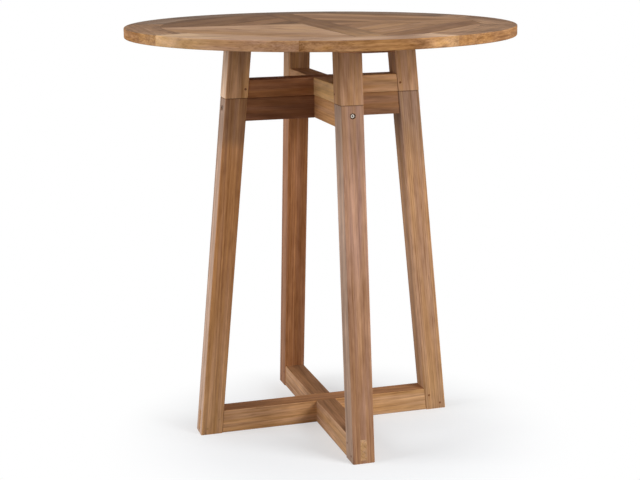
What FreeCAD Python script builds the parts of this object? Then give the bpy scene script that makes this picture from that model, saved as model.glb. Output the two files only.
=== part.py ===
import FreeCAD, Part
import math
import os

from FreeCAD import Vector

# A round bar table of solid teak: a boarded top with a rim, on two crossed trestle frames that stand
# one on the other. Millimetres. Z is up, the origin is on the floor at the middle of the table, X runs
# to the right leg and Y to the back leg.

# Overall sizes. The seam between the two frames lies one upper frame below the top
table_height = 1050.0
top_diameter = 985.0
top_thickness = 25.0
upper_frame_height = 150.0
foot_reach = 342.0
head_reach = 242.0

# Legs of the lower frame and posts of the upper one
leg_width = 57.0
post_width = 58.0
leg_arris = 4.0
seam_arris = 1.2

# Crossed rails
foot_rail_height = 60.0
foot_rail_thickness = 54.0
lower_rail_height = 58.0
lower_rail_thickness = 50.0
upper_rail_height = 45.0
upper_rail_thickness = 54.0
rail_arris = 2.5

# Tenons and the pegs that lock them
tenon_thickness = 16.0
foot_tenon_shoulder = 8.0
lower_tenon_length = 25.0
lower_tenon_shoulder = 10.0
upper_tenon_length = 30.0
upper_tenon_shoulder = 8.0
peg_diameter = 6.0
low_peg_height = 16.0
low_peg_inset = 17.0
high_peg_height = 40.0
high_peg_setback = 12.0
post_peg_setback = 8.0

# Dowels that locate each post on its leg
dowel_diameter = 10.0
dowel_length = 50.0
dowel_spread = 32.0

# Socket bolts, with their washers and nuts
bolt_diameter = 6.0
bolt_head_diameter = 10.0
bolt_head_height = 6.0
socket_width = 5.0
socket_depth = 3.0
socket_sides = 6
washer_diameter = 12.0
washer_thickness = 1.6
counterbore_diameter = 14.0
leg_counterbore_depth = 9.5
leg_bolt_drop = 25.0
barrel_nut_diameter = 10.0
barrel_nut_length = 16.0
barrel_nut_setback = 26.0
bolt_tip_past_nut = 8.0
frame_bolt_reach = 120.0
frame_counterbore_depth = 16.0
insert_nut_diameter = 10.0
insert_nut_length = 15.0
bolt_tip_room = 4.0

# Boards of the top
rim_width = 91.0
rim_round = 2.5
cross_board_width = 78.0
last_slat_width = 41.0
board_arris = 0.7
tongue_thickness = 8.0
tongue_length = 8.0
spline_thickness = 6.0
spline_length = 60.0
spline_width = 30.0

# Battens under the top, and their screws
batten_width = 74.0
batten_thickness = 22.0
batten_inset = 45.0
batten_flat_past_post = 25.0
batten_end_thickness = 8.0
batten_arris = 1.5
head_tenon_width = 30.0
screw_diameter = 4.5
screw_head_diameter = 9.0
screw_head_height = 2.7
screw_length = 25.0
screw_point_length = 5.0
screw_sink = 0.5
screw_recess_width = 1.2
screw_recess_length = 5.0
screw_recess_depth = 1.6
screw_spread = 44.0
middle_screw_reach = 120.0
cross_board_screw_inset = 78.0
rim_screw_inset = 27.0

# Clearances
joint_fit = 0.1
hole_fit = 0.15
end_gap = 0.5
overrun = 20.0

# Counts and angles
rim_count = 8
slat_count = 5
quarter_turn = 90.0

# Places that follow from the sizes
underside = table_height - top_thickness
seam_height = underside - upper_frame_height
batten_underside = underside - batten_thickness
tongue_middle = underside + top_thickness / 2
rim_inner_radius = top_diameter / 2 - rim_width
groove_depth = tongue_length + end_gap
half_cross = cross_board_width / 2
first_slat_reach = half_cross * math.sqrt(2)
slat_width = (rim_inner_radius - first_slat_reach - last_slat_width) / (slat_count - 1)
lean_slope = (foot_reach - head_reach) / underside
lean_angle = math.atan(lean_slope)
leg_depth = leg_width / math.cos(lean_angle)
post_depth = post_width / math.cos(lean_angle)
leg_bolt_height = seam_height - leg_bolt_drop
lower_rail_underside = seam_height - lower_rail_height
upper_rail_top = seam_height + upper_rail_height

sides = ["right", "back", "left", "front"]
vertical = Vector(0, 0, 1)


def write(shape, node):
    shape.exportStep("parts/" + node + ".step")


def turned(shape, quarters):
    copy = shape.copy()
    copy.rotate(Vector(0, 0, 0), vertical, quarters * quarter_turn)
    return copy


def box(low, high):
    size = high - low
    return Part.makeBox(size.x, size.y, size.z, low)


def side_prism(outline, thickness):
    """A solid whose side view is the outline in X and Z, centred on Y."""
    corners = [Vector(x, -thickness / 2, z) for x, z in outline]
    face = Part.Face(Part.makePolygon(corners + corners[:1]))
    return face.extrude(Vector(0, thickness, 0))


def rod(diameter, start, end):
    way = end - start
    return Part.makeCylinder(diameter / 2, way.Length, start, way)


def hole(diameter, start, end):
    return rod(diameter + 2 * hole_fit, start, end)


def edges_along(shape, direction):
    """The straight edges that run along the direction."""
    found = []
    for edge in shape.Edges:
        if not isinstance(edge.Curve, Part.Line):
            continue
        way = edge.Vertexes[1].Point - edge.Vertexes[0].Point
        if way.cross(direction).Length < way.Length * direction.Length / 1000:
            found.append(edge)
    return found


def edges_at_height(shape, height):
    near = leg_arris / 1000
    return [edge for edge in shape.Edges if all(abs(v.Z - height) < near for v in edge.Vertexes)]


def outer_reach(z, depth):
    """From the table's middle to the outer face of a leaning timber of this depth."""
    centre = foot_reach - leg_depth / 2 - lean_slope * z
    return centre + depth / 2


def inner_reach(z, depth):
    return outer_reach(z, depth) - depth


def centre_reach(z):
    return outer_reach(z, 0)


def leaning_outline(low, high, depth):
    return [
        (inner_reach(low, depth), low),
        (outer_reach(low, depth), low),
        (outer_reach(high, depth), high),
        (inner_reach(high, depth), high),
    ]


def spanning_outline(low, high, reach):
    """From one side of the table to the other, with ends that follow the legs' lean."""
    return [
        (-reach(low), low),
        (reach(low), low),
        (reach(high), high),
        (-reach(high), high),
    ]


def leaning_timber(low, high, width, depth):
    timber = side_prism(leaning_outline(low, high, depth), width)
    way = Vector(-lean_slope, 0, 1)
    return timber.makeFillet(leg_arris, edges_along(timber, way))


# Pegs, dowels and bolts stand at places that both of their timbers share

def foot_peg_places():
    low = (foot_reach - low_peg_inset, low_peg_height)
    high = (inner_reach(high_peg_height, leg_depth) + high_peg_setback, high_peg_height)
    return [low, high]


def post_peg_places():
    height = (seam_height + upper_rail_top) / 2
    return [(inner_reach(height, post_depth) + post_peg_setback, height)]


def peg_rods(places, width, make):
    return [make(peg_diameter, Vector(x, -width / 2, z), Vector(x, width / 2, z)) for x, z in places]


def dowel_rods(make, extra):
    x = centre_reach(seam_height)
    rods = []
    for y in (-dowel_spread / 2, dowel_spread / 2):
        low = Vector(x, y, seam_height - dowel_length / 2 - extra)
        high = Vector(x, y, seam_height + dowel_length / 2 + extra)
        rods.append(make(dowel_diameter, low, high))
    return rods


leg_bolt_seat = outer_reach(leg_bolt_height, leg_depth) - leg_counterbore_depth
barrel_nut_reach = inner_reach(leg_bolt_height, leg_depth) - barrel_nut_setback
leg_bolt_tip = barrel_nut_reach - bolt_tip_past_nut
frame_bolt_seat = lower_rail_underside + frame_counterbore_depth
insert_nut_top = seam_height + insert_nut_length


def leg_bolt_cuts():
    """The counterbore and bolt hole that run through a leg into its rail."""
    z = leg_bolt_height
    outside = leg_bolt_seat + leg_counterbore_depth + overrun
    return [
        hole(counterbore_diameter, Vector(leg_bolt_seat, 0, z), Vector(outside, 0, z)),
        hole(bolt_diameter, Vector(leg_bolt_tip - end_gap, 0, z), Vector(outside, 0, z)),
    ]


# Lower frame

def leg():
    """A leaning leg with its mortises, peg holes, dowel holes and bolt hole."""
    timber = leaning_timber(0, seam_height, leg_width, leg_depth)
    timber = timber.makeChamfer(seam_arris, edges_at_height(timber, seam_height))
    width = tenon_thickness + 2 * joint_fit
    through = [
        (0, foot_tenon_shoulder - joint_fit),
        (foot_reach + overrun, foot_tenon_shoulder - joint_fit),
        (foot_reach + overrun, foot_rail_height + joint_fit),
        (0, foot_rail_height + joint_fit),
    ]
    low = lower_rail_underside + lower_tenon_shoulder - joint_fit
    high = seam_height - lower_tenon_shoulder + joint_fit
    length = lower_tenon_length + end_gap
    blind = [
        (0, low),
        (inner_reach(low, leg_depth) + length, low),
        (inner_reach(high, leg_depth) + length, high),
        (0, high),
    ]
    cuts = [side_prism(through, width), side_prism(blind, width)]
    cuts += peg_rods(foot_peg_places(), leg_width + overrun, hole)
    cuts += dowel_rods(hole, end_gap)
    cuts += leg_bolt_cuts()
    return timber.cut(cuts)


def crossed_rail(low, high, thickness, depth, notch_low, notch_high):
    """A rail between two leaning timbers, halved over the rail that it crosses."""
    rail = side_prism(spanning_outline(low, high, lambda z: inner_reach(z, depth)), thickness)
    rail = rail.makeFillet(rail_arris, edges_along(rail, Vector(1, 0, 0)))
    half = thickness / 2 + joint_fit
    return rail.cut(box(Vector(-half, -thickness, notch_low), Vector(half, thickness, notch_high)))


def notches(low, high):
    """The notch of the left-to-right rail is below, and that of the other rail above."""
    middle = (low + high) / 2
    return {"left_right": (low - overrun, middle), "front_back": (middle, high + overrun)}


def both_ends(cuts):
    """Cuts made at the right end of a rail, and the same at its left end."""
    return cuts + [turned(cut, 2) for cut in cuts]


def foot_rail(notch):
    rail = crossed_rail(0, foot_rail_height, foot_rail_thickness, leg_depth, *notch)
    outline = spanning_outline(foot_tenon_shoulder, foot_rail_height, lambda z: outer_reach(z, leg_depth))
    tenons = side_prism(outline, tenon_thickness)
    half = foot_rail_thickness / 2 + joint_fit
    tenons = tenons.cut(box(Vector(-half, -half, 0), Vector(half, half, foot_rail_height)))
    rail = rail.fuse(tenons)
    cuts = both_ends(peg_rods(foot_peg_places(), leg_width, hole))
    return rail.cut(cuts).removeSplitter()


def stub_tenon(low, high, depth, length):
    return side_prism(
        [
            (centre_reach(low) - depth, low),
            (inner_reach(low, depth) + length, low),
            (inner_reach(high, depth) + length, high),
            (centre_reach(high) - depth, high),
        ],
        tenon_thickness,
    )


def lower_rail(notch):
    rail = crossed_rail(lower_rail_underside, seam_height, lower_rail_thickness, leg_depth, *notch)
    low = lower_rail_underside + lower_tenon_shoulder
    high = seam_height - lower_tenon_shoulder
    tenon = stub_tenon(low, high, leg_depth, lower_tenon_length)
    rail = rail.fuse([tenon, turned(tenon, 2)])
    nut_low = Vector(barrel_nut_reach, 0, lower_rail_underside - overrun)
    nut_high = Vector(barrel_nut_reach, 0, leg_bolt_height + barrel_nut_length / 2)
    cuts = leg_bolt_cuts()
    cuts.append(hole(barrel_nut_diameter, nut_low, nut_high))
    cuts += frame_bolt_cuts()
    return rail.cut(both_ends(cuts)).removeSplitter()


def frame_bolt_cuts():
    """The hole that a bolt takes up through a lower rail to its nut in the upper rail."""
    x = frame_bolt_reach
    below = Vector(x, 0, lower_rail_underside - overrun)
    return [
        hole(counterbore_diameter, below, Vector(x, 0, frame_bolt_seat)),
        hole(bolt_diameter, below, Vector(x, 0, insert_nut_top + bolt_tip_room)),
        hole(insert_nut_diameter, Vector(x, 0, seam_height), Vector(x, 0, insert_nut_top)),
    ]


# Upper frame

def post():
    """A leaning post with a square tenon at its head, which stands up through the batten."""
    timber = leaning_timber(seam_height, batten_underside, post_width, post_depth)
    timber = timber.makeChamfer(seam_arris, edges_at_height(timber, seam_height))
    half = head_tenon_width / 2
    x = centre_reach(batten_underside)
    root = batten_underside - batten_thickness
    head = box(Vector(x - half, -half, root), Vector(x + half, half, underside))
    timber = timber.fuse(head)
    low = seam_height + upper_tenon_shoulder - joint_fit
    high = upper_rail_top - upper_tenon_shoulder + joint_fit
    length = upper_tenon_length + end_gap
    mortise = [
        (0, low),
        (inner_reach(low, post_depth) + length, low),
        (inner_reach(high, post_depth) + length, high),
        (0, high),
    ]
    cuts = [side_prism(mortise, tenon_thickness + 2 * joint_fit)]
    cuts += peg_rods(post_peg_places(), post_width + overrun, hole)
    cuts += dowel_rods(hole, end_gap)
    return timber.cut(cuts)


def upper_rail(notch):
    rail = crossed_rail(seam_height, upper_rail_top, upper_rail_thickness, post_depth, *notch)
    low = seam_height + upper_tenon_shoulder
    high = upper_rail_top - upper_tenon_shoulder
    tenon = stub_tenon(low, high, post_depth, upper_tenon_length)
    rail = rail.fuse([tenon, turned(tenon, 2)])
    cuts = frame_bolt_cuts()
    cuts += peg_rods(post_peg_places(), post_width, hole)
    return rail.cut(both_ends(cuts)).removeSplitter()


# Battens and their screws. Each batten is flat under the posts and thins out from there to its ends.
# Every screw head lies as high as those of the rim, which stand where the batten is thinnest

batten_reach = top_diameter / 2 - batten_inset
batten_flat_reach = outer_reach(batten_underside, post_depth) + batten_flat_past_post
cross_board_screw_reach = rim_inner_radius - cross_board_screw_inset
rim_screw_reach = rim_inner_radius + rim_screw_inset
batten_thinning = (batten_thickness - batten_end_thickness) / (batten_reach - batten_flat_reach)
thickness_at_rim_screw = batten_end_thickness + batten_thinning * (batten_reach - rim_screw_reach)
screw_face = underside - thickness_at_rim_screw + screw_sink


def screw_places():
    """Where the screws of a left-to-right batten stand."""
    places = []
    for reach in (middle_screw_reach, cross_board_screw_reach, rim_screw_reach):
        for x in (-reach, reach):
            for y in (-screw_spread / 2, screw_spread / 2):
                places.append((x, y))
    return places


def screw_cut(x, y):
    """The counterbore, the countersink and the pilot hole of one screw, from below."""
    shank = screw_diameter / 2 + hole_fit
    head = screw_head_diameter / 2 + hole_fit
    bore = Part.makeCylinder(head, batten_thickness, Vector(x, y, screw_face - batten_thickness))
    sink = Part.makeCone(head, shank, screw_head_height, Vector(x, y, screw_face))
    pilot = Part.makeCylinder(shank, screw_length + end_gap, Vector(x, y, screw_face))
    return bore.fuse([sink, pilot])


def screw_cuts():
    """All the screw cuts of both battens."""
    cuts = [screw_cut(x, y) for x, y in screw_places()]
    return cuts + [turned(cut, 1) for cut in cuts]


def screw(x, y):
    shank_length = screw_length - screw_head_height - screw_point_length
    neck = screw_face + screw_head_height
    head_radius = screw_head_diameter / 2
    shank_radius = screw_diameter / 2
    head = Part.makeCone(head_radius, shank_radius, screw_head_height, Vector(x, y, screw_face))
    shank = Part.makeCylinder(shank_radius, shank_length, Vector(x, y, neck))
    point = Part.makeCone(shank_radius, 0, screw_point_length, Vector(x, y, neck + shank_length))
    long_half = screw_recess_length / 2
    short_half = screw_recess_width / 2
    top = screw_face + screw_recess_depth
    slots = []
    for half_x, half_y in ((long_half, short_half), (short_half, long_half)):
        low = Vector(x - half_x, y - half_y, screw_face - screw_recess_depth)
        slots.append(box(low, Vector(x + half_x, y + half_y, top)))
    return head.fuse([shank, point]).removeSplitter().cut(slots)


def batten(notch_low, notch_high):
    """A flat batten with ends that thin out, halved over the other one and mortised for the posts."""
    outline = [
        (-batten_flat_reach, batten_underside),
        (batten_flat_reach, batten_underside),
        (batten_reach, underside - batten_end_thickness),
        (batten_reach, underside),
        (-batten_reach, underside),
        (-batten_reach, underside - batten_end_thickness),
    ]
    board = side_prism(outline, batten_width)
    lower_edges = [
        edge
        for edge in board.Edges
        if edge.CenterOfMass.z < underside - batten_end_thickness / 2
        and abs(edge.Vertexes[0].Y - edge.Vertexes[1].Y) < joint_fit
        and abs(edge.Vertexes[0].X - edge.Vertexes[1].X) > joint_fit
    ]
    board = board.makeChamfer(batten_arris, lower_edges)
    half = batten_width / 2 + joint_fit
    cuts = [box(Vector(-half, -half, notch_low), Vector(half, half, notch_high))]
    socket = head_tenon_width / 2 + joint_fit
    x = centre_reach(batten_underside)
    low = Vector(x - socket, -socket, batten_underside - overrun)
    mortise = box(low, Vector(x + socket, socket, underside + overrun))
    cuts += both_ends([mortise])
    cuts += [screw_cut(x, y) for x, y in screw_places()]
    return board.cut(cuts)


# Boards of the top. They lie in one plane and lock into each other with tongues in grooves

def disc(radius, low, high):
    return Part.makeCylinder(radius, high - low, Vector(0, 0, low))


groove_low = tongue_middle - tongue_thickness / 2
groove_high = tongue_middle + tongue_thickness / 2
tongue_low = groove_low + joint_fit
tongue_high = groove_high - joint_fit


def eased(board):
    """Takes the sharp edge off the upper face, which leaves a fine groove along each joint."""
    return board.makeChamfer(board_arris, edges_at_height(board, table_height))


def rim_segment(middle_angle):
    """One length of the rim, with a groove inside and a slot for a spline at each end."""
    half = math.pi / rim_count
    outer = top_diameter / 2
    inner = rim_inner_radius
    arcs = []
    for radius in (outer, inner):
        points = [Vector(radius * math.cos(a), radius * math.sin(a), underside) for a in (-half, 0, half)]
        arcs.append((points, Part.Arc(*points).toShape()))
    (outer_points, outer_arc), (inner_points, inner_arc) = arcs
    low_end = Part.LineSegment(inner_points[0], outer_points[0]).toShape()
    high_end = Part.LineSegment(inner_points[2], outer_points[2]).toShape()
    wire = Part.Wire(Part.__sortEdges__([outer_arc, high_end, inner_arc, low_end]))
    board = Part.Face(wire).extrude(Vector(0, 0, top_thickness))
    rim_edges = []
    joint_edges = []
    for edge in board.Edges:
        level = abs(edge.Vertexes[0].Z - edge.Vertexes[1].Z) < joint_fit
        outside = all(math.hypot(v.X, v.Y) > outer - joint_fit for v in edge.Vertexes)
        if level and outside:
            rim_edges.append(edge)
        elif level and edge.Vertexes[0].Z > tongue_middle:
            joint_edges.append(edge)
    board = board.makeFillet(rim_round, rim_edges)
    groove = disc(inner + groove_depth, groove_low, groove_high)
    slots = [spline_shape(sign * half, joint_fit) for sign in (-1, 1)]
    board = board.cut([groove] + slots)
    board.rotate(Vector(0, 0, 0), vertical, middle_angle)
    return board


def spline_shape(angle, growth):
    """A loose tongue across the joint of two rim segments, or the slots for it."""
    middle = (rim_inner_radius + groove_depth + top_diameter / 2) / 2
    long_half = spline_length / 2 + growth
    wide_half = spline_width / 2 + growth
    thick_half = spline_thickness / 2 + growth
    low = Vector(middle - long_half, -wide_half, tongue_middle - thick_half)
    high = Vector(middle + long_half, wide_half, tongue_middle + thick_half)
    spline = box(low, high)
    spline.rotate(Vector(0, 0, 0), vertical, math.degrees(angle))
    return spline


def cross_board(start, end):
    """A board along Y from start to end, whose ends follow the rim where they reach it."""
    low = Vector(-half_cross, start, underside)
    high = Vector(half_cross, end, table_height)
    board = eased(box(low, high).common(disc(rim_inner_radius, underside, table_height)))
    core = half_cross - groove_depth
    grooves = []
    for side in (-1, 1):
        near = side * core
        far = side * (half_cross + overrun)
        groove_start = Vector(min(near, far), start - overrun, groove_low)
        groove_end = Vector(max(near, far), end + overrun, groove_high)
        grooves.append(box(groove_start, groove_end))
    tongue_start = Vector(-core, start - tongue_length, tongue_low)
    tongue_end = Vector(core, end, tongue_high)
    tongue = box(tongue_start, tongue_end)
    tongue = tongue.common(disc(rim_inner_radius + tongue_length, tongue_low, tongue_high))
    return board.cut(grooves).fuse(tongue).removeSplitter()


def diagonal_slab(near, far, low, high):
    """All that lies between two distances from the middle, measured along the diagonal."""
    slab = box(Vector(near, -top_diameter, low), Vector(far, top_diameter, high))
    slab.rotate(Vector(0, 0, 0), vertical, quarter_turn / 2)
    return slab


def quadrant(edge, radius, low, high):
    corner = Vector(edge, edge, low)
    return box(corner, Vector(top_diameter, top_diameter, high)).common(disc(radius, low, high))


def slat(row):
    """One slat of the back right quarter, counted from the middle of the table."""
    near = first_slat_reach + row * slat_width
    far = near + slat_width
    is_first = row == 0
    is_last = row == slat_count - 1
    field = quadrant(half_cross, rim_inner_radius, underside, table_height)
    board_near = 0 if is_first else near
    board_far = top_diameter if is_last else far
    board = eased(field.common(diagonal_slab(board_near, board_far, underside, table_height)))
    if not is_first:
        board = board.cut(diagonal_slab(near - overrun, near + groove_depth, groove_low, groove_high))
    core_near = 0 if is_first else near + groove_depth
    core_far = top_diameter if is_last else far + tongue_length
    layer = quadrant(half_cross - tongue_length, rim_inner_radius + tongue_length, tongue_low, tongue_high)
    tongue = layer.common(diagonal_slab(core_near, core_far, tongue_low, tongue_high))
    return board.fuse(tongue).removeSplitter()


# Fasteners

def socket_bolt(length):
    """A hexagon socket bolt that stands on the origin, its head below and its shank up along Z."""
    head = Part.makeCylinder(bolt_head_diameter / 2, bolt_head_height, Vector(0, 0, -bolt_head_height))
    shank = Part.makeCylinder(bolt_diameter / 2, length)
    corner = socket_width / 2 / math.cos(math.pi / socket_sides)
    angles = [2 * math.pi * step / socket_sides for step in range(socket_sides)]
    points = [Vector(corner * math.cos(a), corner * math.sin(a), -bolt_head_height) for a in angles]
    socket = Part.Face(Part.makePolygon(points + points[:1])).extrude(Vector(0, 0, socket_depth))
    return head.fuse(shank).removeSplitter().cut(socket)


def washer():
    ring = Part.makeCylinder(washer_diameter / 2, washer_thickness)
    opening = bolt_diameter / 2 + hole_fit
    return ring.cut(Part.makeCylinder(opening, washer_thickness))


def laid_inward(shape, x, z):
    """Turns a shape that stands along Z so that it points to the table's middle, and places it."""
    copy = shape.copy()
    copy.rotate(Vector(0, 0, 0), Vector(0, 1, 0), -quarter_turn)
    copy.translate(Vector(x, 0, z))
    return copy


def barrel_nut():
    half = barrel_nut_length / 2
    low = Vector(barrel_nut_reach, 0, leg_bolt_height - half)
    nut = rod(barrel_nut_diameter, low, low + Vector(0, 0, barrel_nut_length))
    start = Vector(leg_bolt_tip, 0, leg_bolt_height)
    return nut.cut(hole(bolt_diameter, start, start + Vector(barrel_nut_setback, 0, 0)))


def insert_nut():
    low = Vector(frame_bolt_reach, 0, seam_height)
    high = Vector(frame_bolt_reach, 0, insert_nut_top)
    return rod(insert_nut_diameter, low, high).cut(hole(bolt_diameter, low, high))


def around(shapes):
    """The shapes of the right side, repeated at the back, left and front."""
    return Part.makeCompound([turned(shape, quarters) for quarters in range(len(sides)) for shape in shapes])


def standing(shape, z):
    copy = shape.copy()
    copy.translate(Vector(frame_bolt_reach, 0, z))
    return copy


os.makedirs("parts", exist_ok=True)

# Lower and upper frames
whole_leg = leg()
whole_post = post()
for quarters, side in enumerate(sides):
    write(turned(whole_leg, quarters), "leg_" + side)
    write(turned(whole_post, quarters), "post_" + side)

for way, quarters in {"left_right": 0, "front_back": 1}.items():
    write(turned(foot_rail(notches(0, foot_rail_height)[way]), quarters), "foot_rail_" + way)
    lower_notch = notches(lower_rail_underside, seam_height)[way]
    write(turned(lower_rail(lower_notch), quarters), "lower_rail_" + way)
    upper_notch = notches(seam_height, upper_rail_top)[way]
    write(turned(upper_rail(upper_notch), quarters), "upper_rail_" + way)
    batten_notch = notches(batten_underside, underside)[way]
    write(turned(batten(*batten_notch), quarters), "batten_" + way)

# Top
all_screw_cuts = screw_cuts()
compass = ["right", "back_right", "back", "back_left", "left", "front_left", "front", "front_right"]
for number, name in enumerate(compass):
    segment = rim_segment(number * 360 / rim_count)
    write(segment.cut(all_screw_cuts), "rim_" + name)

through_board = cross_board(-top_diameter, top_diameter)
write(through_board.cut(all_screw_cuts), "cross_board_long")
short_board = cross_board(half_cross, top_diameter)
write(turned(short_board, 1).cut(all_screw_cuts), "cross_board_left")
write(turned(short_board, 3).cut(all_screw_cuts), "cross_board_right")

for row in range(slat_count):
    board = slat(row)
    for quarters, quarter in enumerate(["back_right", "back_left", "front_left", "front_right"]):
        write(turned(board, quarters), "slat_" + quarter + "_" + str(row + 1))

spline_turns = [math.pi * (2 * number + 1) / rim_count for number in range(rim_count)]
write(Part.makeCompound([spline_shape(angle, 0) for angle in spline_turns]), "rim_splines")

# Fasteners
screws = [screw(x, y) for x, y in screw_places()]
write(Part.makeCompound(screws + [turned(one, 1) for one in screws]), "batten_screws")
write(around(peg_rods(foot_peg_places(), leg_width, rod)), "foot_pegs")
write(around(peg_rods(post_peg_places(), post_width, rod)), "post_pegs")
write(around(dowel_rods(rod, 0)), "seam_dowels")

leg_bolt_head = leg_bolt_seat + washer_thickness
leg_bolt = laid_inward(socket_bolt(leg_bolt_head - leg_bolt_tip), leg_bolt_head, leg_bolt_height)
write(around([leg_bolt]), "leg_bolts")
write(around([laid_inward(washer(), leg_bolt_head, leg_bolt_height)]), "leg_bolt_washers")
write(around([barrel_nut()]), "barrel_nuts")

frame_bolt_head = frame_bolt_seat - washer_thickness
frame_bolt = socket_bolt(insert_nut_top - frame_bolt_head)
write(around([standing(frame_bolt, frame_bolt_head)]), "frame_bolts")
write(around([standing(washer(), frame_bolt_head)]), "frame_bolt_washers")
write(around([insert_nut()]), "insert_nuts")
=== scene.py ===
import math

import bpy
from mathutils import Euler, Matrix, Vector


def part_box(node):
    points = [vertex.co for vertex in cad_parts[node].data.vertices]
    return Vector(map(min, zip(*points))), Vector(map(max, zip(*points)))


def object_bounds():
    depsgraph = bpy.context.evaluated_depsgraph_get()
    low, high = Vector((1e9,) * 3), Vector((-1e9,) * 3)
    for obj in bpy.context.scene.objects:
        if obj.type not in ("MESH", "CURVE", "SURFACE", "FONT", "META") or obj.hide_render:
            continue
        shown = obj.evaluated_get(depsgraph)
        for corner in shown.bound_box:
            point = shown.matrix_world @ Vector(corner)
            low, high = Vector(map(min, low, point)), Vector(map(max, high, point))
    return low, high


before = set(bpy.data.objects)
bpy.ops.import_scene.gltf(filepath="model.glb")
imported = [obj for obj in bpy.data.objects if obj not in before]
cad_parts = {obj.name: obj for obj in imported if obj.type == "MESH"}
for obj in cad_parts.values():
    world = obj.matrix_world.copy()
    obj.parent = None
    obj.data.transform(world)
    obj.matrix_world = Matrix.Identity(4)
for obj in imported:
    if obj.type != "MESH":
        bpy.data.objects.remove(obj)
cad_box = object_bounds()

# Legs
# Four leaning timbers of solid teak, planed, sanded and left with a thin coat of oil.
# Each one takes the tenon of a foot rail right through its foot and holds a rail at its head.

sides = ["right", "back", "left", "front"]
quarter = math.radians(90)
leg_low, leg_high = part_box("leg_right")
leg_size = leg_high - leg_low
leg_width = leg_size.y
leg_lean = math.atan((leg_size.x - leg_width) / leg_size.z)


def linear(colour):
    """The linear colour of an sRGB hex value."""
    parts = [int(colour[start:start + 2], 16) / 255 for start in (1, 3, 5)]
    lit = [part / 12.92 if part <= 0.04045 else ((part + 0.055) / 1.055) ** 2.4 for part in parts]
    return (*lit, 1.0)


def empty_tree(owner):
    """The node tree of a material or a world, without the nodes that it starts with."""
    owner.use_nodes = True
    owner.node_tree.nodes.clear()
    return owner.node_tree


def add(tree, kind, inputs, **settings):
    """Adds a node, with values or links for its inputs and, on a colour ramp, its stops."""
    node = tree.nodes.new("ShaderNode" + kind)
    stops = settings.pop("stops", [])
    for name, value in settings.items():
        setattr(node, name, value)
    for further_stop in stops[2:]:
        node.color_ramp.elements.new(1.0)
    for number, (place, tone) in enumerate(stops):
        node.color_ramp.elements[number].position = place
        node.color_ramp.elements[number].color = tone
    for socket, value in inputs.items():
        if isinstance(value, bpy.types.NodeSocket):
            tree.links.new(value, node.inputs[socket])
        else:
            node.inputs[socket].default_value = value
    return node


def middle_of(node):
    """The middle of a node's box."""
    low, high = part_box(node)
    return (low + high) / 2


def dress(node, material):
    """Gives a carried-over piece its finish."""
    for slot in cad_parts[node].material_slots:
        slot.material = material


# Oiled teak: warm brown with fine straight streaks, thin darker growth rings round a heart outside the
# piece, a hue that wanders between golden and pink, and end grain darker than the faces. The oil has
# soaked in, so the wood hardly shines.

# The middle tones of single timbers. Blond and shell are sapwood.
teak_tones = {
    "golden": "#b08058",
    "chestnut": "#a06e4a",
    "bronze": "#997049",
    "rosy": "#a98165",
    "hazel": "#b58d6c",
    "tan": "#c1956c",
    "umber": "#855a3f",
    "sable": "#5e442e",
    "drab": "#6c4f36",
    "dusky": "#7a5b42",
    "fawn": "#8a6a4e",
    "buff": "#97775a",
    "sand": "#a38469",
    "blond": "#d0a97c",
    "shell": "#d0a796",
}

# The figure multiplies the middle tone, from its darkest level to its palest one.
middle_level = 0.5
shade_steps = [
    (0.16, (0.58, 0.50, 0.43)),
    (0.40, (0.86, 0.83, 0.80)),
    (0.60, (1.08, 1.09, 1.10)),
    (0.86, (1.45, 1.54, 1.64)),
]
golden_to_pink = [
    (0.38, (1.0, 0.94, 0.80, 1)),
    (0.62, (0.97, 0.95, 1.0, 1)),
]

# Each layer of the figure has a length along the grain, one across it and a share. Real fibres are
# 0.2 mm wide and wouldn't show, so they are drawn in bundles of about 1.4 mm.
drift_size = (0.600, 0.050)
band_size = (0.500, 0.014)
streak_size = (0.240, 0.0035)
mottle_size = (0.060, 0.018)
fibre_size = (0.040, 0.0014)
hue_size = (0.300, 0.014)
soft_detail = 1.0
fine_detail = 2.0
layer_grit = 0.55
layer_shares = {"drift": 0.35, "band": 0.50, "streak": 0.60, "mottle": 0.45, "years": 0.45, "fibres": 0.45}
seed_step = 1.37

# Growth rings are 4.5 mm apart, wander by up to 4 mm and widen along the trunk like a cone. Each one
# darkens slowly from its spring wood to its late wood, and some years are darker than others.
ring_spacing = 0.0045
ring_wander = 0.004
ring_cone = 0.018
ring_depth = 0.16
ring_darkness = [(0.0, 0.0), (0.62, 0.2), (0.86, 1.0), (1.0, 0.0)]
mean_darkness = 0.3
year_change = {"Scale": 0.45, "Detail": 3.0, "Roughness": 0.7}

# Pores open where the fibres' noise is low.
pore_depth = 0.14
pore_start = 0.40
pore_full = 0.28

# Paler sapwood has a border that wavers along the timber. Its brightness is a least one and a range
# that follows the figure.
sapwood_waver = 0.12
sapwood_least = 0.42
sapwood_range = 0.9

# Arrises are rubbed and joints are dark in narrow bands, and the core of a band has its full tone. A
# face goes over to end grain, or to one that looks the given way, between two cosines of its angle to them.
arris_band = 0.003
arris_core = 0.3
seam_line = 0.002
seam_core = 0.3
end_facing = (0.6, 0.9)
way_facing = (0.80, 0.97)

# The fibres stand up a little, and are less smooth than the oiled wood between them.
fibre_relief = 0.6
wood_relief = {"Strength": 0.5, "Distance": 0.0002}
oil_roughness = 0.62
fibre_roughness = 0.2
oil_gloss = 0.08
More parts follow.
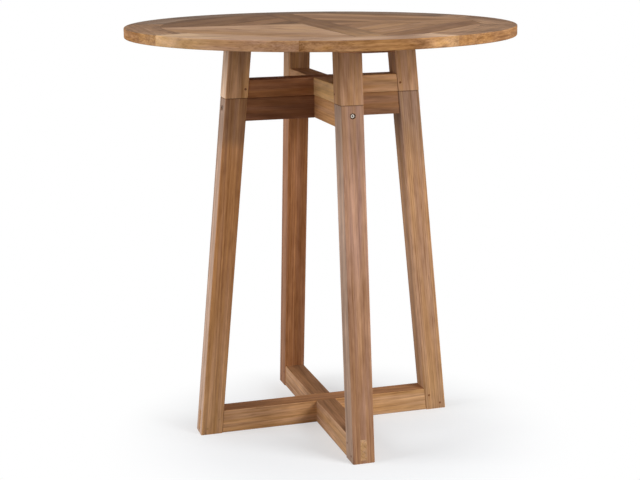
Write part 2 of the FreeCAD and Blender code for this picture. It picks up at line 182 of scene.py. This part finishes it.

# A timber has these looks where its own say nothing else. The tones, the tone for faces that look a
# given way and the tone of painted shade multiply the colour. Pale gives the places along the grain where
# sapwood starts and is full, and its share there, and another span does the same for painted shade, where
# the top keeps the light off. A share turns faces that look the given way towards their own tone.
plain = {
    "arris_tone": 1.06,
    "end_tone": 0.75,
    "seam_tone": 0.9,
    "contrast": 1.0,
    "fade": 0.0,
    "faded": (1.7, 1.2, 0.92),
    "facing_way": (0, 0, 1),
    "pale": (0, 1, 0.0),
    "sapwood": "blond",
    "painted_shade_span": (0, 1, 0.0),
    "painted_shade_tone": (0.72, 0.77, 0.89),
}


def figure_layer(tree, wood, size, detail):
    """Noise that is drawn out along the grain."""
    scale = (1 / size[0], 1 / size[1], 1 / size[1])
    stretched = add(tree, "VectorMath", {0: wood, 1: scale}, operation="MULTIPLY").outputs[0]
    inputs = {"Vector": stretched, "Scale": 1.0, "Detail": detail, "Roughness": layer_grit}
    return add(tree, "TexNoise", inputs).outputs[0]


def growth_rings(tree, wood):
    """The darkness within each year's ring, and a level that changes from year to year."""
    cone = add(tree, "VectorMath", {0: wood, 1: (ring_cone, 1, 1)}, operation="MULTIPLY").outputs[0]
    radius = add(tree, "VectorMath", {0: cone}, operation="LENGTH").outputs["Value"]
    inputs = {0: figure_layer(tree, wood, drift_size, fine_detail), 1: ring_wander, 2: radius}
    radius = add(tree, "Math", inputs, operation="MULTIPLY_ADD").outputs[0]
    year = add(tree, "Math", {0: radius, 1: 1 / ring_spacing}, operation="MULTIPLY").outputs[0]
    season = add(tree, "Math", {0: year}, operation="FRACT").outputs[0]
    stops = [(time, (dark, dark, dark, 1)) for time, dark in ring_darkness]
    latewood = add(tree, "ValToRGB", {0: season}, stops=stops).outputs[0]
    years = add(tree, "TexNoise", {"W": year, **year_change}, noise_dimensions="1D").outputs[0]
    return latewood, years


def figure_level(tree, wood, latewood, years, fibres, contrast):
    """All layers of the figure, rings and pores together, as a level round the middle one."""
    layers = {
        "drift": figure_layer(tree, wood, drift_size, soft_detail),
        "band": figure_layer(tree, wood, band_size, fine_detail),
        "streak": figure_layer(tree, wood, streak_size, fine_detail),
        "mottle": figure_layer(tree, wood, mottle_size, fine_detail),
        "years": years,
        "fibres": fibres,
    }
    level = middle_level - middle_level * sum(layer_shares.values()) + mean_darkness * ring_depth
    for layer, share in layer_shares.items():
        inputs = {0: layers[layer], 1: share, 2: level}
        level = add(tree, "Math", inputs, operation="MULTIPLY_ADD").outputs[0]
    inputs = {0: latewood, 1: -ring_depth, 2: level}
    level = add(tree, "Math", inputs, operation="MULTIPLY_ADD").outputs[0]
    inputs = {"Value": fibres, "From Min": pore_start, "From Max": pore_full}
    pores = add(tree, "MapRange", inputs).outputs[0]
    inputs = {0: pores, 1: -pore_depth, 2: level}
    level = add(tree, "Math", inputs, operation="MULTIPLY_ADD").outputs[0]
    inputs = {0: level, 1: contrast, 2: middle_level - middle_level * contrast}
    return add(tree, "Math", inputs, operation="MULTIPLY_ADD").outputs[0]


def wood_colour(tree, wood, lengthwise, level, tone, looks):
    """Heartwood in its tone, with the sapwood that grows in and painted shade along part of the grain."""
    base = linear(teak_tones[tone])
    stops = []
    for step, shares in shade_steps:
        stops.append((step, (*(part * share for part, share in zip(base, shares)), 1)))
    heartwood = add(tree, "ValToRGB", {0: level}, stops=stops).outputs[0]

    start, end, most = looks["pale"]
    half_waver = sapwood_waver / 2
    inputs = {0: figure_layer(tree, wood, band_size, soft_detail), 1: sapwood_waver, 2: lengthwise}
    border = add(tree, "Math", inputs, operation="MULTIPLY_ADD").outputs[0]
    inputs = {"Value": border, "From Min": start + half_waver, "From Max": end + half_waver, "To Max": most}
    share = add(tree, "MapRange", inputs).outputs[0]
    inputs = {0: level, 1: sapwood_range, 2: sapwood_least}
    paler = add(tree, "Math", inputs, operation="MULTIPLY_ADD").outputs[0]
    inputs = {0: linear(teak_tones[looks["sapwood"]])[:3], "Scale": paler}
    sapwood = add(tree, "VectorMath", inputs, operation="SCALE").outputs[0]
    colour = add(tree, "MixRGB", {0: share, 1: heartwood, 2: sapwood}).outputs[0]

    hue = figure_layer(tree, wood, hue_size, soft_detail)
    tint = add(tree, "ValToRGB", {0: hue}, stops=golden_to_pink).outputs[0]
    colour = add(tree, "VectorMath", {0: colour, 1: tint}, operation="MULTIPLY").outputs[0]

    # Painted shade: the colour darkens along part of the grain, where the top keeps the light off.
    start, end, most = looks["painted_shade_span"]
    inputs = {"Value": lengthwise, "From Min": start, "From Max": end, "To Max": most}
    share = add(tree, "MapRange", inputs).outputs[0]
    darker = add(tree, "VectorMath", {0: colour, 1: looks["painted_shade_tone"]}, operation="MULTIPLY").outputs[0]
    return add(tree, "MixRGB", {0: share, 1: colour, 2: darker}).outputs[0]


def end_grain_tone(tree, normal, along, looks):
    """The tone of faces that look along the grain."""
    facing = add(tree, "VectorMath", {0: normal, 1: along}, operation="DOT_PRODUCT").outputs["Value"]
    facing = add(tree, "Math", {0: facing}, operation="ABSOLUTE").outputs[0]
    start, end = end_facing
    inputs = {"Value": facing, "From Min": start, "From Max": end, "To Min": 1.0, "To Max": looks["end_tone"]}
    return add(tree, "MapRange", inputs).outputs[0]


def arris_tone(tree, axes, half, looks):
    """The tone along the timber's long edges, which lie half its section from its axis both ways."""
    near = []
    for axis, reach in ((1, half[0]), (2, half[1])):
        away = add(tree, "Math", {0: axes[axis]}, operation="ABSOLUTE").outputs[0]
        inputs = {"Value": away, "From Min": reach - arris_band, "From Max": reach - arris_core * arris_band}
        near.append(add(tree, "MapRange", inputs).outputs[0])
    arris = add(tree, "Math", {0: near[0], 1: near[1]}, operation="MULTIPLY").outputs[0]
    inputs = {0: arris, 1: looks["arris_tone"] - 1, 2: 1.0}
    return add(tree, "Math", inputs, operation="MULTIPLY_ADD").outputs[0]


def seam_tone(tree, place, looks):
    """The tone in a fine line at the height where the two frames meet."""
    height = add(tree, "SeparateXYZ", {0: place}).outputs[2]
    inputs = {"Value": height, "From Min": leg_high.z - seam_line, "From Max": leg_high.z + seam_line}
    away = add(tree, "MapRange", {**inputs, "To Min": -1.0}).outputs[0]
    away = add(tree, "Math", {0: away}, operation="ABSOLUTE").outputs[0]
    inputs = {"Value": away, "From Min": seam_core, "From Max": 1.0, "To Min": looks["seam_tone"]}
    return add(tree, "MapRange", inputs).outputs[0]


def faded_colour(tree, normal, colour, looks):
    """The colour, with faces that look a given way turned by a share to their own tone.

    On the tops of the foot rails this is painted shade.
    """
    toward_way = add(tree, "VectorMath", {0: normal, 1: looks["facing_way"]}, operation="DOT_PRODUCT").outputs["Value"]
    start, end = way_facing
    inputs = {"Value": toward_way, "From Min": start, "From Max": end, "To Max": looks["fade"]}
    share = add(tree, "MapRange", inputs).outputs[0]
    lightness = add(tree, "RGBToBW", {0: colour}).outputs[0]
    faded = add(tree, "VectorMath", {0: looks["faded"], "Scale": lightness}, operation="SCALE").outputs[0]
    return add(tree, "MixRGB", {0: share, 1: colour, 2: faded}).outputs[0]


def teak(name, middle, turn, tone, heart, seed, half, **changes):
    """Teak whose grain runs along the turned X axis through the middle.

    Heart is where the growth rings have their middle, and half is half the section, both in the turned
    Y and Z. Each seed takes its wood from another length of the log."""
    looks = {**plain, **changes}
    material = bpy.data.materials.new(name)
    tree = empty_tree(material)
    place = add(tree, "TexCoord", {}).outputs["Object"]
    inputs = {"Vector": place, "Location": middle, "Rotation": turn}
    grain = add(tree, "Mapping", inputs, vector_type="TEXTURE").outputs[0]
    inputs = {"Vector": grain, "Location": (seed * seed_step, heart[0], heart[1])}
    wood = add(tree, "Mapping", inputs, vector_type="POINT").outputs[0]
    latewood, years = growth_rings(tree, wood)
    fibres = figure_layer(tree, wood, fibre_size, fine_detail)
    level = figure_level(tree, wood, latewood, years, fibres, looks["contrast"])
    axes = add(tree, "SeparateXYZ", {0: grain}).outputs
    colour = wood_colour(tree, wood, axes[0], level, tone, looks)

    along = Euler(turn).to_matrix() @ Vector((1, 0, 0))
    normal = add(tree, "NewGeometry", {}).outputs["Normal"]
    dimmed = end_grain_tone(tree, normal, along, looks)
    for other in (arris_tone(tree, axes, half, looks), seam_tone(tree, place, looks)):
        dimmed = add(tree, "Math", {0: dimmed, 1: other}, operation="MULTIPLY").outputs[0]
    colour = add(tree, "VectorMath", {0: colour, "Scale": dimmed}, operation="SCALE").outputs[0]
    colour = faded_colour(tree, normal, colour, looks)

    inputs = {0: fibres, 1: fibre_relief, 2: latewood}
    relief = add(tree, "Math", inputs, operation="MULTIPLY_ADD").outputs[0]
    bump = add(tree, "Bump", {"Height": relief, **wood_relief}).outputs[0]
    inputs = {0: fibres, 1: fibre_roughness, 2: oil_roughness}
    rough = add(tree, "Math", inputs, operation="MULTIPLY_ADD").outputs[0]
    inputs = {"Base Color": colour, "Roughness": rough, "Specular IOR Level": oil_gloss, "Normal": bump}
    surface = add(tree, "BsdfPrincipled", inputs).outputs[0]
    add(tree, "OutputMaterial", {"Surface": surface})
    return material


facing_left = (-1, 0, 0)
joint_line = 0.7
leg_seed = 1

# Places along a leg run upwards from its middle. The left faces of legs and posts are a little paler,
# more pink and less golden than the others. The heads of three legs are darker with painted shade under
# the top, the feet of the right and left legs are paler, and the upper half of the front leg is paler and
# pinker.
leg_looks = {
    "right": {
        "tone": "hazel",
        "heart": (0.08, 0.09),
        "fade": 0.1,
        "painted_shade_span": (0.22, 0.36, 1.0),
        "pale": (-0.25, -0.40, 0.3),
    },
    "back": {
        "tone": "chestnut",
        "heart": (0.09, 0.08),
        "fade": 0.4,
        "faded": (2.2, 1.3, 0.92),
    },
    "left": {
        "tone": "golden",
        "heart": (-0.09, 0.08),
        "fade": 0.75,
        "faded": (1.95, 1.38, 1.08),
        "painted_shade_span": (0.31, 0.34, 1.0),
        "pale": (0.0, -0.40, 0.40),
    },
    "front": {
        "tone": "rosy",
        "heart": (0.07, 0.09),
        "fade": 0.75,
        "painted_shade_span": (0.22, 0.36, 1.0),
        "painted_shade_tone": (0.73, 0.73, 0.70),
        "pale": (0.0, 0.12, 0.45),
        "sapwood": "shell",
    },
}


def dress_leaning(kind, width, first_seed, looks):
    """Gives the four leaning timbers of a kind their finish, each with its own looks."""
    for number, side in enumerate(sides):
        timber = kind + "_" + side
        settings = {
            "middle": middle_of(timber),
            "turn": (0, -(quarter + leg_lean), number * quarter),
            "seed": first_seed + number,
            "half": (width / 2, width / 2),
            "facing_way": facing_left,
            "seam_tone": joint_line,
        }
        dress(timber, teak("oiled_teak_" + timber, **settings, **looks[side]))


dress_leaning("leg", leg_width, leg_seed, leg_looks)

# Foot rails
# Two teak rails crossed on the floor, halved over each other at the middle of the table.
# Their tenons run through the legs, so their end grain shows on the legs' outer faces.

ways = {"left_right": 0, "front_back": quarter}


def dress_crossed(kind, heart, first_seed, looks, **shared):
    """Gives the two crossed timbers of a kind their finish, each with its own looks and the shared ones."""
    for number, (way, turn) in enumerate(ways.items()):
        timber = kind + "_" + way
        low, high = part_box(timber)
        size = high - low
        settings = {
            "middle": middle_of(timber),
            "turn": (0, 0, turn),
            "heart": heart,
            "seed": first_seed + number,
            "half": (min(size.x, size.y) / 2, size.z / 2),
        }
        dress(timber, teak("oiled_teak_" + timber, **settings, **looks[way], **shared))


foot_heart = (0.07, -0.09)
foot_seed = 11

# The tops of both rails have painted shade, dark and reddish, where the top keeps the light off. The right
# half of one and the front half of the other are paler.
foot_looks = {
    "left_right": {"tone": "tan", "faded": (1.04, 0.46, 0.20), "pale": (0.10, 0.25, 0.4)},
    "front_back": {"tone": "hazel", "faded": (0.74, 0.33, 0.14), "pale": (-0.05, -0.25, 0.45)},
}
dress_crossed("foot_rail", foot_heart, foot_seed, foot_looks, end_tone=0.9, fade=0.8)

# Lower rails
# Two teak rails right under the seam, halved over each other, that tie the heads of the legs.
# Stub tenons hold them in the legs, and a socket bolt pulls each joint tight.

lower_heart = (0.07, 0.06)
lower_seed = 21
lower_looks = {
    "left_right": {"tone": "umber", "pale": (-0.05, 0.15, 0.2)},
    "front_back": {"tone": "golden", "pale": (0.0, -0.12, 0.3)},
}
dress_crossed("lower_rail", lower_heart, lower_seed, lower_looks)

# Foot pegs
# Small teak pegs driven through the legs and the tenons of the foot rails, two at each leg.
# They are cut flush, so only their round ends show: dark ones, but for the left leg's, which hardly show.

peg_looks = {"tone": "umber", "heart": (0.1, 0.1), "seed": 31, "end_tone": 0.6}

# Half a section far larger than the piece keeps the tone of an arris off it.
no_arris = (1, 1)


def peg_finish(name, **changes):
    """Teak of which hardly more than the end grain shows."""
    return teak(name, middle=(0, 0, 0), turn=(0, 0, 0), half=no_arris, **peg_looks, **changes)


dress("foot_pegs", peg_finish("end_grain_teak_foot_pegs", pale=(-0.2, -0.3, 0.6)))

# Seam dowels
# Turned beech dowels, two at each corner, half in the head of a leg and half in the foot of its post.
# They keep the two frames in line, and none of them shows.

# Turned beech: pale, plain and even, with short darker flecks. Real flecks are about 1 mm wide, and are
# drawn 4 mm wide and 20 mm long so that they show.
fleck_size = (0.004, 0.004, 0.020)
fleck_detail = 3.0
fleck_tones = [(0.3, linear("#b58a63")), (0.7, linear("#d3ac84"))]
fleck_relief = {"Strength": 0.3, "Distance": 0.0001}
beech_surface = {"Roughness": 0.55, "IOR": 1.45}


def beech(name):
    """Beech whose grain runs along Z."""
    material = bpy.data.materials.new(name)
    tree = empty_tree(material)
    place = add(tree, "TexCoord", {}).outputs["Object"]
    scale = [1 / length for length in fleck_size]
    stretched = add(tree, "VectorMath", {0: place, 1: scale}, operation="MULTIPLY").outputs[0]
    flecks = add(tree, "TexNoise", {"Vector": stretched, "Scale": 1.0, "Detail": fleck_detail}).outputs[0]
    colour = add(tree, "ValToRGB", {0: flecks}, stops=fleck_tones).outputs[0]
    bump = add(tree, "Bump", {"Height": flecks, **fleck_relief}).outputs[0]
    surface = add(tree, "BsdfPrincipled", {"Base Color": colour, "Normal": bump, **beech_surface}).outputs[0]
    add(tree, "OutputMaterial", {"Surface": surface})
    return material


turned_beech = beech("turned_beech")
dress("seam_dowels", turned_beech)

# Leg bolts, washers and barrel nuts
# Stainless socket bolts in counterbores on the legs' outer faces, each on a flat washer.
# A barrel nut across each lower rail takes the thread.

# Turned and polished metal has soft highlights and fine scratches. Real scratches are under 0.1 mm wide,
# and are drawn 0.8 mm wide so that they show.
scratch_size = 0.0008
scratch_detail = 3.0
worn_level = 0.35
bright_level = 0.6
polish_spread = 0.08
scratch_relief = {"Strength": 0.2, "Distance": 0.00005}


def painted_rings(tree, place, colour, axis_height, reach, tones):
    """Metal tinted by its distance, counted in reaches, from two crossed axes at a height."""
    away = add(tree, "VectorMath", {0: place}, operation="ABSOLUTE").outputs[0]
    away = add(tree, "SeparateXYZ", {0: away}).outputs
    aside = add(tree, "Math", {0: away[0], 1: away[1]}, operation="MINIMUM").outputs[0]
    above = add(tree, "Math", {0: away[2], 1: axis_height}, operation="SUBTRACT").outputs[0]
    from_axis = add(tree, "CombineXYZ", {0: aside, 1: above}).outputs[0]
    from_axis = add(tree, "VectorMath", {0: from_axis, "Scale": 1 / reach}, operation="SCALE").outputs[0]
    from_axis = add(tree, "VectorMath", {0: from_axis}, operation="LENGTH").outputs["Value"]
    painted_tone = add(tree, "ValToRGB", {0: from_axis}, stops=tones).outputs[0]
    return add(tree, "VectorMath", {0: colour, 1: painted_tone}, operation="MULTIPLY").outputs[0]


def metal(name, bright, worn, rough, ring_painting=None):
    """Metal in a bright and a worn colour. The painted rings are the axes' height, a reach and tones."""
    material = bpy.data.materials.new(name)
    tree = empty_tree(material)
    place = add(tree, "TexCoord", {}).outputs["Object"]
    inputs = {"Vector": place, "Scale": 1 / scratch_size, "Detail": scratch_detail}
    scratches = add(tree, "TexNoise", inputs).outputs[0]
    stops = [(worn_level, linear(worn)), (bright_level, linear(bright))]
    colour = add(tree, "ValToRGB", {0: scratches}, stops=stops).outputs[0]
    if ring_painting:
        colour = painted_rings(tree, place, colour, *ring_painting)
    inputs = {"Value": scratches, "To Min": rough - polish_spread, "To Max": rough + polish_spread}
    polish = add(tree, "MapRange", inputs).outputs[0]
    bump = add(tree, "Bump", {"Height": scratches, **scratch_relief}).outputs[0]
    inputs = {"Base Color": colour, "Metallic": 1.0, "Roughness": polish, "Normal": bump}
    surface = add(tree, "BsdfPrincipled", inputs).outputs[0]
    add(tree, "OutputMaterial", {"Surface": surface})
    return material


# Clean stainless steel is a light grey, and the washers, deep in the wood, are a dull brown of painted shade.
# On each bolt's head the socket and the outer edge are painted dark with shade, so only a ring of it is
# bright, and that ring is a painted highlight.
stainless = metal("turned_stainless_steel", bright="#b4b0aa", worn="#8f8b86", rough=0.32)
shaded_washer_steel = metal("stainless_steel_painted_shade", bright="#947d69", worn="#75604e", rough=0.5)
bolt_low, bolt_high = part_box("leg_bolts")
head_radius = (bolt_high - bolt_low).z / 2
# Tones by the distance from each bolt's axis: painted shade in the socket, a painted highlight in a ring, and
# painted shade at the outer edge.
painted_ring_tones = [
    (0.36, (0.06, 0.05, 0.04, 1)),
    (0.48, (1.3, 1.3, 1.3, 1)),
    (0.68, (1.3, 1.3, 1.3, 1)),
    (0.80, (0.45, 0.34, 0.26, 1)),
]
ring_painting = (middle_of("leg_bolts").z, head_radius, painted_ring_tones)
painted_bolt_steel = metal("stainless_steel_painted_shade_and_highlight", bright="#cfcbc5", worn="#a8a49f", rough=0.30, ring_painting=ring_painting)
dress("leg_bolts", painted_bolt_steel)
# The washers' dull brown is painted shade.
dress("leg_bolt_washers", shaded_washer_steel)
dress("barrel_nuts", stainless)

# Upper rails
# Two short teak rails that stand on the seam, halved over each other.
# Stub tenons and a peg hold each end in a post.

upper_heart = (0.06, 0.08)
upper_seed = 41
upper_looks = {
    "left_right": {"tone": "chestnut", "pale": (-0.05, 0.15, 0.5)},
    "front_back": {"tone": "tan", "pale": (0.04, -0.08, 1.0)},
}
dress_crossed("upper_rail", upper_heart, upper_seed, upper_looks)

# Posts
# Four short teak posts that carry the top and carry on the line of the legs, a little wider than them.
# Their lower ends are eased, which leaves a fine groove at the seam.

post_low, post_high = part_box("post_front")
post_width = (post_high - post_low).x
post_seed = 51

# The left post is darker towards its head, with painted shade under the top, and the left face of the front
# one is dark and reddish.
post_looks = {
    "right": {
        "tone": "hazel",
        "heart": (0.07, 0.10),
        "fade": 0.1,
    },
    "back": {
        "tone": "tan",
        "heart": (0.06, 0.09),
        "fade": 0.3,
    },
    "left": {
        "tone": "tan",
        "heart": (-0.08, 0.09),
        "fade": 0.8,
        "faded": (1.9, 1.4, 1.05),
        "painted_shade_span": (-0.08, 0.08, 0.7),
    },
    "front": {
        "tone": "hazel",
        "heart": (0.09, 0.07),
        "fade": 0.5,
        "faded": (1.0, 0.51, 0.22),
    },
}
dress_leaning("post", post_width, post_seed, post_looks)

# Post pegs
# One small teak peg through each post and the tenon of its rail.
# They are cut flush, so only their round, dark ends show.

dress("post_pegs", peg_finish("end_grain_teak_post_pegs"))

# Frame bolts, washers and insert nuts
# Stainless socket bolts that come up through the lower rails and pull the upper frame down on the lower
# one. Brass insert nuts in the upper rails take them.

for group in ("frame_bolts", "frame_bolt_washers"):
    dress(group, stainless)

# Turned brass is a soft, slightly dull yellow.
brass = metal("turned_brass", bright="#b8975a", worn="#8f713c", rough=0.38)
dress("insert_nuts", brass)

# Battens
# Two crossed teak battens under the top, halved over each other, that hold its boards flat.
# They take the tenons at the heads of the posts.

batten_heart = (0.06, 0.10)
batten_seed = 61
batten_looks = dict.fromkeys(ways, {"tone": "chestnut"})
dress_crossed("batten", batten_heart, batten_seed, batten_looks)

# Cross boards
# A dark teak board from front to back and two paler ones from left to right divide the top in quarters.
# Tongues at their ends lock into the rim.

joint_tone = 0.62
cross_heart = (0.05, 0.07)
cross_seed = 71
cross_looks = {
    "long": {"tone": "drab", "turn": (0, 0, quarter), "pale": (-0.10, -0.40, 0.35)},
    "left": {"tone": "sand", "turn": (0, 0, 0)},
    "right": {"tone": "fawn", "turn": (0, 0, 0)},
}

# Half a section with no depth lets the tone of the joint run down each side of a board.
for number, (name, looks) in enumerate(cross_looks.items()):
    board = "cross_board_" + name
    low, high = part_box(board)
    size = high - low
    settings = {
        "middle": middle_of(board),
        "heart": cross_heart,
        "seed": cross_seed + number,
        "half": (min(size.x, size.y) / 2, 0),
        "arris_tone": joint_tone,
    }
    dress(board, teak("oiled_teak_" + board, **settings, **looks))

# Slats
# Each quarter of the top is filled with five diagonal teak boards, tongued and grooved into each other.
# Their upper edges are eased, so a fine dark groove runs along each joint.

slat_count = 5
slat_step = (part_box("slat_back_right_3")[1].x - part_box("slat_back_right_2")[1].x) / math.sqrt(2)
board_low, board_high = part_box("cross_board_long")
first_reach = board_high.x * math.sqrt(2)
board_level = (board_high.z + board_low.z) / 2
slat_tones = {
    "back_right": ["drab", "fawn", "dusky", "buff", "drab"],
    "back_left": ["sable", "dusky", "drab", "drab", "sable"],
    "front_left": ["sand", "sand", "sand", "buff", "sand"],
    "front_right": ["dusky", "fawn", "fawn", "dusky", "buff"],
}

# Every board is sawn from another side of its log, so the heart swings from one to the next.
slat_seed = 81
heart_reach = 0.05
heart_swing = 0.03
swing_aside = 2.4
swing_below = 1.7
for number, (corner, tones) in enumerate(slat_tones.items()):
    diagonal = number * quarter + quarter / 2
    for row, tone in enumerate(tones):
        slat = "slat_" + corner + "_" + str(row + 1)
        reach = first_reach + (row + 0.5) * slat_step
        seed = slat_seed + number * slat_count + row
        aside = heart_reach * math.sin(seed * swing_aside)
        below = heart_reach + heart_swing * math.cos(seed * swing_below)
        settings = {
            "middle": (reach * math.cos(diagonal), reach * math.sin(diagonal), board_level),
            "turn": (0, 0, diagonal + quarter),
            "tone": tone,
            "heart": (aside, below),
            "seed": seed,
            "half": (slat_step / 2, 0),
            "arris_tone": joint_tone,
        }
        dress(slat, teak("oiled_teak_" + slat, **settings))

# Rim and splines
# Eight curved lengths of teak, sawn from straight boards, joined end to end with loose tongues of beech.
# The upper and lower edges of the rim are rounded by hand.

table_radius = (cad_box[1].x - cad_box[0].x) / 2
rim_inset = 0.05
rim_reach = table_radius - rim_inset
rim_seed = 121
rim_swing = 2.1
rim_contrast = 1.6
rim_faded = (1.35, 1.0, 0.78)

# The upper faces are half faded, and come out paler in some lengths than in others.
rim_paleness = {
    "right": 0.63,
    "back_right": 1.3,
    "back": 0.9,
    "back_left": 1.5,
    "left": 0.55,
    "front_left": 0.7,
    "front": 1.4,
    "front_right": 0.6,
}
rim_looks = {
    "right": {"tone": "bronze"},
    "back_right": {"tone": "drab"},
    "back": {"tone": "drab"},
    "back_left": {"tone": "drab"},
    "left": {"tone": "bronze", "pale": (0.10, 0.17, 0.35)},
    "front_left": {"tone": "hazel", "pale": (0.02, -0.13, 1.0), "contrast": 1.0},
    "front": {"tone": "bronze", "pale": (0.10, 0.17, 0.5)},
    "front_right": {"tone": "bronze"},
}
for number, (name, looks) in enumerate(rim_looks.items()):
    rim = "rim_" + name
    angle = number * quarter / 2
    settings = {
        "middle": (rim_reach * math.cos(angle), rim_reach * math.sin(angle), board_level),
        "turn": (0, 0, angle + quarter),
        "heart": (heart_reach * math.sin(number * rim_swing), heart_reach),
        "seed": rim_seed + number,
        "half": no_arris,
        "contrast": rim_contrast,
        "end_tone": 0.85,
        "fade": 0.5,
        "faded": [part * rim_paleness[name] for part in rim_faded],
    }
    dress(rim, teak("oiled_teak_" + rim, **{**settings, **looks}))
dress("rim_splines", turned_beech)

# Batten screws
# Countersunk stainless screws with a cross recess, driven up through the battens into the boards.
# Their heads lie just inside the wood, where they show from below only.

dress("batten_screws", stainless)

# Floor
# A plain pale floor in matt paint, which the table stands on and which is no part of it.
# It keeps the table's soft shadow and is white to the camera elsewhere.

floor_reach = 12.0
floor_corners = [(-1, -1), (1, -1), (1, 1), (-1, 1)]
shadow_middle = (0, -0.14, 0)
shadow_reach = 0.25
white_reach = 0.64
floor_lift = 0.43
bounced_tone = linear("#bcbcbc")
seen_tone = linear("#bfc2c5")
white_light = linear("#ffffff")


def seen_rays(tree):
    """One for rays from the camera, or from a surface that mirrors or shows what is behind it."""
    rays = add(tree, "LightPath", {}).outputs
    straight = {0: rays["Is Camera Ray"], 1: rays["Is Glossy Ray"]}
    straight = add(tree, "Math", straight, operation="MAXIMUM").outputs[0]
    return add(tree, "Math", {0: straight, 1: rays["Is Transmission Ray"]}, operation="MAXIMUM").outputs[0]


def floor_paint(name):
    """Matt paint, lifted by a glow for the camera, which goes over to white away from the shadow."""
    material = bpy.data.materials.new(name)
    tree = empty_tree(material)
    seen = seen_rays(tree)
    lift = add(tree, "Math", {0: seen, 1: floor_lift}, operation="MULTIPLY").outputs[0]
    tint = add(tree, "MixRGB", {0: seen, 1: bounced_tone, 2: seen_tone}).outputs[0]
    paint = add(tree, "BsdfDiffuse", {"Color": tint}).outputs[0]
    glow = add(tree, "Emission", {"Color": white_light, "Strength": lift}).outputs[0]
    near = add(tree, "AddShader", {0: paint, 1: glow}).outputs[0]
    place = add(tree, "TexCoord", {}).outputs["Object"]
    away = add(tree, "VectorMath", {0: place, 1: shadow_middle}, operation="DISTANCE").outputs["Value"]
    inputs = {"Value": away, "From Min": shadow_reach, "From Max": white_reach}
    open_floor = add(tree, "MapRange", inputs, interpolation_type="SMOOTHSTEP").outputs[0]
    open_floor = add(tree, "Math", {0: open_floor, 1: seen}, operation="MULTIPLY").outputs[0]
    white = add(tree, "Emission", {"Color": white_light, "Strength": 1.0}).outputs[0]
    surface = add(tree, "MixShader", {0: open_floor, 1: near, 2: white}).outputs[0]
    add(tree, "OutputMaterial", {"Surface": surface})
    return material


floor_mesh = bpy.data.meshes.new("floor")
floor_places = [(x * floor_reach, y * floor_reach, 0) for x, y in floor_corners]
floor_mesh.from_pydata(floor_places, [], [range(len(floor_places))])
floor_mesh.materials.append(floor_paint("matt_floor_paint"))
floor = bpy.data.objects.new("floor", floor_mesh)
bpy.context.scene.collection.objects.link(floor)

# Light
# Low light from all round, with large soft lamps above, on the left and on the right in front.
# The background is white to the camera, and dimmer as a light.

low_light = 0.22
world = bpy.data.worlds.new("studio")
bpy.context.scene.world = world
tree = empty_tree(world)
strength = add(tree, "MapRange", {"Value": seen_rays(tree), "To Min": low_light, "To Max": 1.0}).outputs[0]
background = add(tree, "Background", {"Color": white_light, "Strength": strength}).outputs[0]
add(tree, "OutputWorld", {"Surface": background})

# Each lamp has a place, a width in metres and a power in watts, and is turned to the table.
lamp_target = Vector((0, 0, 0.6))
lamps = {
    "lamp_above": ((0.0, -0.2, 3.2), 1.6, 27.0),
    "lamp_left": ((-3.2, 0.0, 1.7), 2.0, 78.0),
    "lamp_right": ((2.4, -3.0, 2.0), 2.0, 141.0),
}
for name, (place, width, power) in lamps.items():
    lamp_data = bpy.data.lights.new(name, "AREA")
    lamp_data.shape = "SQUARE"
    lamp_data.size = width
    lamp_data.energy = power
    lamp = bpy.data.objects.new(name, lamp_data)
    lamp.location = place
    lamp.rotation_euler = (lamp_target - Vector(place)).to_track_quat("-Z", "Y").to_euler()
    bpy.context.scene.collection.objects.link(lamp)

# Camera
# It stands in front, a little to the left of the front leg, and looks slightly down. Its place, turns
# and focal length were fitted to the edges of the table in the photograph. Angles are in radians.

image_width = 640
sensor_width = 36.0
focal_length_pixels = 1382.95
camera_distance = 3.5225
camera_height = 1.3075
camera_bearing = 0.29594
camera_heading = 0.29439
camera_dip = 0.22782
camera_roll = 0.00825
camera_data = bpy.data.cameras.new("camera")
camera_data.sensor_width = sensor_width
camera_data.lens = focal_length_pixels * sensor_width / image_width
camera = bpy.data.objects.new("camera", camera_data)
bpy.context.scene.collection.objects.link(camera)
stand = Vector((
    -camera_distance * math.sin(camera_bearing),
    -camera_distance * math.cos(camera_bearing),
    camera_height,
))
camera.matrix_world = (
    Matrix.Translation(stand)
    @ Matrix.Rotation(-camera_heading, 4, "Z")
    @ Matrix.Rotation(quarter - camera_dip, 4, "X")
    @ Matrix.Rotation(-camera_roll, 4, "Z")
)
bpy.context.scene.camera = camera
bpy.context.scene.view_settings.view_transform = "Standard"
